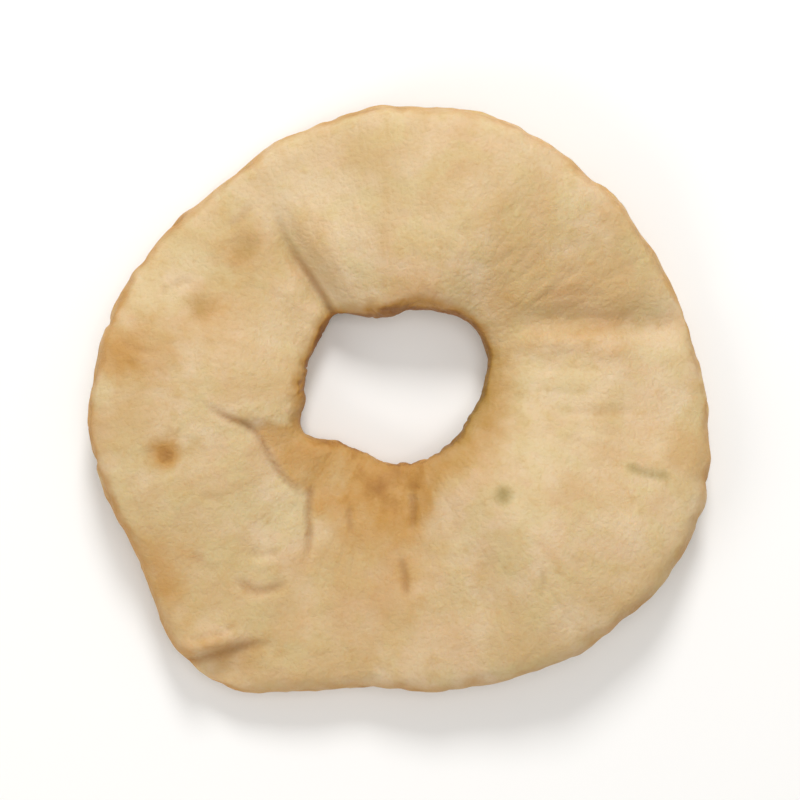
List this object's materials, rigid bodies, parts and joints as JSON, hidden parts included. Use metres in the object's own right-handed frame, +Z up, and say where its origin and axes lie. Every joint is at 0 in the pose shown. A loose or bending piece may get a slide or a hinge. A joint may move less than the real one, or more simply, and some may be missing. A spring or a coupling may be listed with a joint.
{
  "type": "dried apple ring",
  "caption": "Cored slice of peeled apple, dried soft: a pale, buckled ring with creases, a seed pocket and an uneven hole, for food scenes, bowls and bags",
  "frame": {"origin": "The middle of the ring's box at its base, on the surface that it lies on", "axes": "+Z up through the hole, the more open face up; +X across the slice's longest way, with the blunt corner towards -X and -Y"},
  "size_m": [0.0562, 0.0532, 0.0082],
  "materials": {
    "apple_flesh": "satin"
  },
  "bodies": {
    "root": {"apple_ring": "apple_flesh"}
  },
  "joints": []
}
